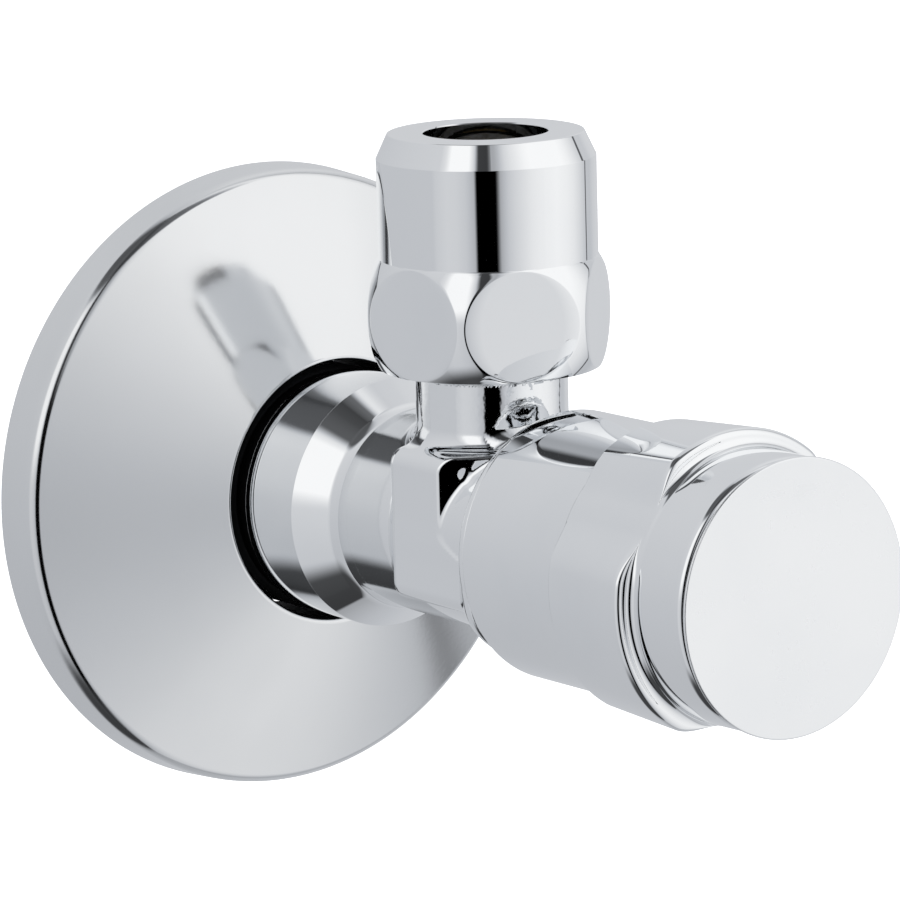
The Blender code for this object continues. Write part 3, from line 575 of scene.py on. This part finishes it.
def make_body_tail():
    """Threaded tail, collar and the start of the barrel, with the inlet bore and the seat."""
    relief_radius, thread_start, chamfer = 9.9, 9.2, TAIL_END + 0.9
    corners = [
        (5.2, 27.0, 0.1),
        (5.4, 26.1),
        (7.2, 26.1),
        (7.2, CASTING_BACK),
        (BARREL_RADIUS, CASTING_BACK),
        (BARREL_RADIUS, 21.2, 2.2),
        (TAIL_RADIUS, 18.2, 0.1),
        (TAIL_RADIUS, 11.5, 0.9),
        (relief_radius, 11.05),
        (relief_radius, 9.6),
        (TAIL_RADIUS, thread_start),
    ]
    points = outline_points(corners, False)
    steps = steps_between(thread_start, chamfer, INLET_PITCH / 10.0)
    points += [(TAIL_RADIUS, height) for height in steps]
    points += outline_points([
        (TAIL_RADIUS, chamfer),
        (9.5, TAIL_END, 0.1),
        (6.3, TAIL_END, 0.1),
        (6.0, TAIL_END + 0.3),
        (6.0, 22.4),
        (4.5, 23.4),
        (4.5, 27.0),
    ], False)
    thread = thread_shape(INLET_PITCH, 1.1, chamfer, 8.8, run_in=0.6, run_out=1.8)
    groove_radius = 9.3
    groove_low, groove_high = -seal_high[1] - 0.25, -seal_low[1] + 0.25

    def shape(radius, height, angles):
        """The thread, and the seal's groove across it."""
        if radius > 9.0 and groove_low < height < groove_high:
            return np.full(len(angles), groove_radius)
        if radius > relief_radius and height < thread_start + 0.1:
            return thread(radius, height, angles)
        return np.full(len(angles), radius)

    return lathe("body_tail", points, TO_VALVE, closed=True, shape=shape)


def make_body_spigot():
    """The outlet's threaded spigot, with the tube's socket and the cone the olive sits on."""
    low, high = SPIGOT_THREAD
    points = outline_points([
        (6.35, SPIGOT_TOP),
        (6.9, SPIGOT_TOP, 0.2),
        (6.9, 21.4, 0.2),
        (7.2, 21.4),
        (SPIGOT_RADIUS, high),
    ], False)
    points += [(SPIGOT_RADIUS, height) for height in steps_between(high, low, OUTLET_PITCH / 10.0)]
    points += outline_points([
        (SPIGOT_RADIUS, low),
        (NECK_COLLAR_RADIUS, 13.6, 0.2),
        (NECK_COLLAR_RADIUS, 13.0),
        (4.0, 13.0),
        (4.0, 18.0),
        (5.2, 18.0),
        (5.2, 24.2),
        (6.35, SPIGOT_TOP),
    ], False)[:-1]
    thread = thread_shape(OUTLET_PITCH, 0.78, low, high, run_in=0.9, run_out=0.5)

    def shape(radius, height, angles):
        if radius > SPIGOT_RADIUS - 0.1:
            return thread(radius, height, angles)
        return np.full(len(angles), radius)

    return lathe("body_spigot", points, TO_OUTLET, closed=True, shape=shape)


def make_escutcheon():
    """The pressed cover plate, a sheet of one thickness, hanging a little off the tail's middle."""
    hang = Matrix.Translation((PLATE_HANG[0] * MM, 0.0, PLATE_HANG[1] * MM))
    outer = outline_points([
        (SLEEVE_RADIUS, SLEEVE_BACK),
        (11.0, PLATE_LIP, 0.35),
        (PLATE_RADIUS - 0.28, 3.89, 1.5),
        (PLATE_RADIUS, 0.0),
    ], False)
    inner = []
    for index, (radius, height) in enumerate(outer):
        before = outer[max(0, index - 1)]
        after = outer[min(len(outer) - 1, index + 1)]
        along = Vector((after[0] - before[0], after[1] - before[1])).normalized()
        inner.append((radius + along.y * PLATE_SHEET, height - along.x * PLATE_SHEET))
    inner[-1] = (PLATE_RADIUS - PLATE_SHEET, 0.0)
    points, place = outer + inner[::-1], hang @ TO_VALVE
    return lathe("escutcheon_plate", points, place, closed=True, segments=256, sharp=40.0)


def make_nut():
    """The compression nut: a barrel-shaped collar with six round flats under a plain cylinder."""
    flat, bulge, turn = 8.95, 10.15, math.radians(249.4)
    collar_top, waist, hole, pocket, ceiling = 22.25, 8.88, 5.05, 7.25, 29.0
    middle = (NUT_BOTTOM + 0.05 + collar_top) / 2.0
    half = (collar_top - NUT_BOTTOM - 0.05) / 2.0
    thread_radius, thread_low, thread_high = 8.33, 14.0, 21.4
    pitch, strip = TURN / 6.0, 0.006
    across_flat = np.linspace(-1.0, 1.0, 9)
    across_barrel = np.linspace(0.0, 1.0, 12)

    def ring(height, radius=None):
        """A ring of the collar, or a plain one of a given radius with as many points."""
        share = (height - middle) / half
        barrel = math.sqrt(flat**2 + (bulge**2 - flat**2) * max(0.0, 1.0 - share**2))
        span = math.radians(14.0)
        if radius is None:
            span = max(math.acos(min(1.0, flat / barrel)), math.radians(6.0))
        points = []
        for k in range(6):
            centre = turn + TURN * k / 6.0
            for s in across_flat:
                off = s * (span - strip)
                angle = centre + off
                r = radius or min(barrel, flat / math.cos(off))
                points.append((r * math.cos(angle), r * math.sin(angle), height))
            for s in across_barrel:
                angle = centre + span + strip + s * (pitch - 2.0 * span - 2.0 * strip)
                r = radius or barrel
                points.append((r * math.cos(angle), r * math.sin(angle), height))
        return np.array(points)

    top = outline_points([
        (hole, 32.3),
        (5.13, NUT_TOP, 0.03),
        (7.95, NUT_TOP, 0.12),
        (waist, 30.4, 0.12),
        (waist, collar_top + 0.1),
    ], False)
    rings = [ring(height, radius) for radius, height in top]
    down_collar = np.linspace(math.pi / 2.0, -math.pi / 2.0, 49)
    rings += [ring(height) for height in middle + half * np.sin(down_collar)]
    bottom = outline_points([
        (8.85, NUT_BOTTOM, 0.05),
        (8.6, NUT_BOTTOM),
        (thread_radius, NUT_BOTTOM + 0.3),
    ], False)
    rings += [ring(height, radius) for radius, height in bottom]
    angles = np.array([math.atan2(p[1], p[0]) for p in rings[0]])
    thread = thread_shape(OUTLET_PITCH, 0.4, thread_low, thread_high, 0.4, 0.4, inner=True)
    turns = steps_between(thread_low, thread_high, OUTLET_PITCH / 8.0)
    for height in [NUT_BOTTOM + 0.5, *turns, collar_top]:
        rings.append(ring_points(thread(thread_radius, height, angles), height, angles))
    for radius, height in ((pocket, 22.85), (pocket, ceiling), (hole, ceiling)):
        rings.append(ring(height, radius))
    for index, height in enumerate(steps_between(ceiling, 32.2, 0.16)):
        ridge = 0.10 if index % 2 and height > 30.0 else 0.0
        rings.append(ring(height, hole + ridge))
    return skin("nut_shell", rings, TO_OUTLET, closed=True, sharp=28.0)


def make_handle():
    """The handle: a plain skirt, three lobes between finger scallops, and the nose."""
    base, hollow, screw_hole = 10.95, 9.6, 4.4
    lobe_back, lobe_front, nose_front = 54.0, 63.1, HANDLE_FRONT + 0.75
    pitch, scallop = TURN / 3.0, math.radians(25.0)
    scallop_floor, scallop_side = math.radians(5.0), math.radians(22.0)
    points = outline_points([
        (9.3, nose_front - 0.1),
        (9.4, nose_front),
        (10.8, nose_front, 0.8),
        (10.88, lobe_front, 0.75),
        (12.3, lobe_front, 0.6),
        (11.75, lobe_back, 0.12),
        (10.92, lobe_back - 0.1, 0.1),
        (10.92, HANDLE_BACK, 0.12),
        (9.7, HANDLE_BACK, 0.1),
        (hollow, HANDLE_BACK + 0.2),
        (hollow, 59.5),
        (screw_hole, 59.5),
        (screw_hole, 61.5),
        (9.3, 61.5),
    ], False)

    def shape(radius, height, angles):
        """Draws the lobes in to the base's radius at each scallop."""
        if radius <= base:
            return np.full(len(angles), radius)
        offset = np.abs((angles - scallop + pitch / 2.0) % pitch - pitch / 2.0)
        return base + (radius - base) * smooth((offset - scallop_floor) / scallop_side)

    place, segments = TO_VALVE, 360
    return lathe("handle_cover", points, place, True, shape, segments, sharp=30.0)


def make_cap():
    return turned("cap_face", [
        (0.0, CAP_FRONT),
        (CAP_RADIUS, CAP_FRONT - 0.03, 0.15),
        (CAP_RADIUS, CAP_FRONT - 0.25, 0.03),
        (9.2, CAP_FRONT - 0.25),
        (9.2, CAP_BACK),
        (0.0, CAP_BACK),
    ], TO_VALVE)


def make_body_casting():
    low, high = (-11.3, -42.4, -11.3), (11.3, -21.6, 13.9)
    return cast_piece("body_casting", casting_field, low, high, CASTING_STEP)


def make_tail_seal():
    inner, outer = 9.55, seal_high[0]
    low, high = -seal_high[1], -seal_low[1]
    return turned("tail_seal", [
        (inner, high, 0.15),
        (outer, high, 0.2),
        (outer, low, 0.2),
        (inner, low, 0.15),
    ], TO_VALVE, closed=True)


def painted_shade_on_tail(x, y, z):
    """Bore, seat, and the relief between the collar and the thread, painted dark as shade."""
    across = np.hypot(x, z)
    return (across < 7.4) | (-y < 11.25) & (-y > 9.1)


def painted_shade_on_casting(x, y, z):
    """Bore, and the front face behind the handle, painted dark as shade."""
    across = np.hypot(x, z)
    return (across < 10.2) & (-y > BODY_FRONT - 0.05) | (across < 7.4)


def painted_shade_on_spigot(x, y, z):
    """The tube's socket, painted dark as shade."""
    return np.hypot(x, y + OUTLET_DEPTH) < 6.3


def painted_shade_on_nut(x, y, z):
    """Thread, and the pocket for the olive, painted dark as shade."""
    across = np.hypot(x, y + OUTLET_DEPTH)
    return (across < 8.4) & (z < 29.5)


def painted_shade_on_handle(x, y, z):
    """Hollow, and the nose's front behind the cap, painted dark as shade."""
    across = np.hypot(x, z)
    hollow = (across < 9.65) & (-y < HANDLE_FRONT + 0.6)
    return hollow | (across < 10.3) & (-y > HANDLE_FRONT + 0.7)


def painted_shade_on_cap(x, y, z):
    """The back, painted dark as shade."""
    return (np.hypot(x, z) < 10.8) & (-y < CAP_FRONT - 0.2)


def painted_shade_on_plate(x, y, z):
    """The inside of the sleeve around the tail, painted dark as the gap's shade."""
    across = np.hypot(x - PLATE_HANG[0], z - PLATE_HANG[1])
    return (across < SLEEVE_RADIUS + 0.15) & (-y < PLATE_LIP - 0.3)


# The last column picks the faces painted near-black as shade
for make, body, node, slot, material, in_painted_shade in (
    (make_body_tail, "body", None, "polished_chrome", bright_chrome, painted_shade_on_tail),
    (make_body_spigot, "body", None, "polished_chrome", bright_chrome, painted_shade_on_spigot),
    (make_body_casting, "body", "valve_body", "polished_chrome", cast_chrome, painted_shade_on_casting),
    (make_tail_seal, "body", "inlet_seal_ring", "white_plastic", white_plastic, None),
    (
        make_escutcheon, "escutcheon", "wall_escutcheon", "satin_chrome",
        satin_chrome, painted_shade_on_plate,
    ),
    (make_nut, "nut", "compression_nut", "polished_chrome", bright_chrome, painted_shade_on_nut),
    (make_handle, "handle", "handle_shell", "polished_chrome", bright_chrome, painted_shade_on_handle),
    (make_cap, "handle", "cap_disc", "satin_chrome_cap", cap_chrome, painted_shade_on_cap),
):
    piece = make()
    paint(piece, material, in_painted_shade)
    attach(piece, body)
    if node:
        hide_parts(node)

for node, material in (
    ("compression_ring", outlet_brass),
    ("pressure_ring", steel),
    ("bonnet", valve_brass),
    ("bonnet_seal_ring", rubber),
    ("spindle", valve_brass),
    ("spindle_seal_ring_inner", rubber),
    ("spindle_seal_ring_outer", rubber),
    ("spindle_clip", steel),
    ("thrust_washer", white_plastic),
    ("plunger", valve_brass),
    ("plunger_seal_ring", rubber),
    ("seat_washer", rubber),
    ("washer_screw", steel),
    ("handle_insert", grey_plastic),
    ("handle_screw", steel),
    ("cap_carrier", grey_plastic),
):
    carried = frame["nodes"][node]
    if not carried.material_slots:
        carried.data.materials.append(material)
    for material_slot in carried.material_slots:
        material_slot.material = material


# ---------------------------------------------------------------------------------------------
# Studio
# ---------------------------------------------------------------------------------------------

# Brightness of the surroundings around the horizon: degrees from -Y towards +X, and grey
AROUND = (
    (-180, 0.56), (-94, 0.57), (-91, 0.62), (-80, 0.66), (-70, 0.65), (-60, 0.60), (-54, 0.52),
    (-48, 0.42), (-26, 0.34), (-20, 0.50), (-15, 0.60), (-8, 0.68), (0, 0.75), (10, 0.84),
    (20, 0.89), (40, 0.94), (55, 0.90), (65, 0.84), (75, 0.73), (88, 0.56), (98, 0.56),
    (108, 0.63), (120, 0.66), (135, 0.62), (150, 0.58), (165, 0.56), (180, 0.56),
)
# How that brightness changes with the angle above the horizon
UPWARD = (
    (-90, 0.50), (-65, 0.66), (-45, 0.745), (-25, 0.785), (-8, 0.82), (10, 0.87),
    (30, 0.92), (50, 0.97), (65, 0.94), (90, 0.80),
)
UPWARD_SCALE = 1.22

# Patches of the surroundings: middle, half width and soft edge around the horizon, then the
# lowest and highest angle above it and their soft edges, all in degrees
LAMP = (-69.0, 14.0, 8.0, 6.0, 50.0, 10.0, 7.0)
LAMP_LIGHT = 0.38
GROUND = (-105.0, 75.0, 12.0, -120.0, -54.0, 5.0, 9.0)
CEILING = (-60.0, 110.0, 25.0, 57.0, 120.0, 4.0, 5.0)
GAP = (-37.2, 12.2, 1.8, -62.0, 20.0, 10.0, 9.0)
GAP_TOP = (-42.0, 7.5, 3.0, 10.0, 62.0, 6.0, 12.0)
SEAM = (86.4, 1.2, 0.6, -50.0, 60.0, 10.0, 10.0)
# The share of the light that each dark patch takes away
DARK_PATCHES = ((GROUND, 0.88), (CEILING, 0.85), (GAP, 1.0), (GAP_TOP, 0.90), (SEAM, 0.85))


def around_patch(tree, azimuth, elevation, centre, half, soft, low, high, soft_low, soft_high):
    """One inside a patch of the sky and zero outside, with soft edges."""
    apart = calc(tree, "WRAP", calc(tree, "SUBTRACT", azimuth, centre), 180.0, -180.0)
    off = calc(tree, "ABSOLUTE", apart)
    sides = ease(tree, off, half + soft, half - soft)
    bottom = ease(tree, elevation, low - soft_low, low + soft_low)
    top = ease(tree, elevation, high + soft_high, high - soft_high)
    return calc(tree, "MULTIPLY", sides, calc(tree, "MULTIPLY", bottom, top))


def make_world():
    """A pale studio seen only in reflections, while the camera itself sees white.

    It has a bright right side, a soft light on the left, a dark gap at the front, and a dim
    floor and ceiling.
    """
    world = bpy.data.worlds.new("Studio")
    bpy.context.scene.world = world
    world.use_nodes = True
    tree = world.node_tree
    tree.nodes.clear()
    ray = add(tree, "ShaderNodeTexCoord").outputs["Generated"]
    x, y, z = add(tree, "ShaderNodeSeparateXYZ", None, {0: ray}).outputs
    azimuth = calc(tree, "DEGREES", calc(tree, "ARCTAN2", x, calc(tree, "MULTIPLY", y, -1.0)))
    elevation = calc(tree, "DEGREES", calc(tree, "ARCSINE", z))
    turn = calc(tree, "MULTIPLY_ADD", azimuth, 1.0 / 360.0, 0.5)
    around = ramp(tree, turn, [((angle + 180) / 360.0, grey) for angle, grey in AROUND])
    rise = calc(tree, "MULTIPLY_ADD", elevation, 1.0 / 180.0, 0.5)
    upward = ramp(tree, rise, [((angle + 90) / 180.0, grey) for angle, grey in UPWARD])
    light = calc(tree, "MULTIPLY", calc(tree, "MULTIPLY", around, upward), UPWARD_SCALE)
    lamp = around_patch(tree, azimuth, elevation, *LAMP)
    light = calc(tree, "MULTIPLY_ADD", lamp, LAMP_LIGHT, light)
    for place, share in DARK_PATCHES:
        patch = around_patch(tree, azimuth, elevation, *place)
        left = calc(tree, "MULTIPLY_ADD", patch, -share, 1.0)
        light = calc(tree, "MULTIPLY", light, left)
    tint = ramp(tree, light, [
        (0.0, 0.0),
        (0.55, (0.536, 0.55, 0.577)),
        (0.85, (0.846, 0.85, 0.857)),
        (1.0, 1.0),
    ])
    studio = add(tree, "ShaderNodeBackground", None, {"Color": tint}).outputs[0]
    white = add(tree, "ShaderNodeBackground", None, {"Color": (1.0, 1.0, 1.0, 1.0)}).outputs[0]
    seen = add(tree, "ShaderNodeLightPath").outputs["Is Camera Ray"]
    mixed = add(tree, "ShaderNodeMixShader", None, {0: seen, 1: studio, 2: white}).outputs[0]
    add(tree, "ShaderNodeOutputWorld", None, {"Surface": mixed})


# In metres
FLOOR_HEIGHT = -0.12
FLOOR_REACH = 6.0
LIGHT_PLACE = Vector((-0.3, -0.5, 1.6))
LIGHT_SIZE = 1.6
LIGHT_POWER = 14.0  # watts


def make_floor():
    corners = [
        (across * FLOOR_REACH, along * FLOOR_REACH, FLOOR_HEIGHT)
        for across, along in ((-1, -1), (1, -1), (1, 1), (-1, 1))
    ]
    mesh = bpy.data.meshes.new("floor")
    mesh.from_pydata(corners, [], [(0, 1, 2, 3)])
    floor = bpy.data.objects.new("floor", mesh)
    bpy.context.scene.collection.objects.link(floor)
    floor.visible_glossy = False
    material, tree, shader, place = start_material("pale_floor", (0.9, 0.9, 0.9), 0.0)
    tone(tree, shader, noise(tree, place, 9.0, 3.0), (0.90, 0.90, 0.90), (0.88, 0.88, 0.88))
    shader.inputs["Roughness"].default_value = 0.8
    shader.inputs["Emission Color"].default_value = (1.0, 1.0, 1.0, 1.0)
    shader.inputs["Emission Strength"].default_value = 0.7
    mesh.materials.append(material)


def make_light():
    """A plain soft light overhead, which the chrome doesn't show as a hard shape."""
    data = bpy.data.lights.new("soft_light", "AREA")
    data.shape = "DISK"
    data.size = LIGHT_SIZE
    data.energy = LIGHT_POWER
    lamp = bpy.data.objects.new("soft_light", data)
    lamp.location = LIGHT_PLACE
    lamp.rotation_euler = (-LIGHT_PLACE).to_track_quat("-Z", "Y").to_euler()
    lamp.visible_glossy = False
    bpy.context.scene.collection.objects.link(lamp)


# The photo's angle: the camera's place in metres and its lens in millimetres
CAMERA_PLACE = (-0.27718, -0.39529, 0.09505)
CAMERA_LENS = 229.57
CAMERA_AZIMUTH = math.radians(-36.91)
CAMERA_ELEVATION = math.radians(10.98)
CAMERA_ROLL = math.radians(-1.48)


def make_camera():
    level, rise = math.cos(CAMERA_ELEVATION), math.sin(CAMERA_ELEVATION)
    side, ahead = math.sin(CAMERA_AZIMUTH), math.cos(CAMERA_AZIMUTH)
    back = Vector((side * level, -ahead * level, rise))
    right = Vector((ahead, side, 0.0))
    up = back.cross(right)
    tilted_right = right * math.cos(CAMERA_ROLL) + up * math.sin(CAMERA_ROLL)
    tilted_up = up * math.cos(CAMERA_ROLL) - right * math.sin(CAMERA_ROLL)
    data = bpy.data.cameras.new("camera")
    data.lens = CAMERA_LENS
    data.sensor_width = 36.0
    camera = bpy.data.objects.new("camera", data)
    bpy.context.scene.collection.objects.link(camera)
    turn = Matrix((tilted_right, tilted_up, back)).transposed().to_4x4()
    camera.matrix_world = Matrix.Translation(CAMERA_PLACE) @ turn
    bpy.context.scene.camera = camera


make_world()
make_floor()
make_light()
make_camera()
bpy.context.scene.view_settings.view_transform = "Standard"
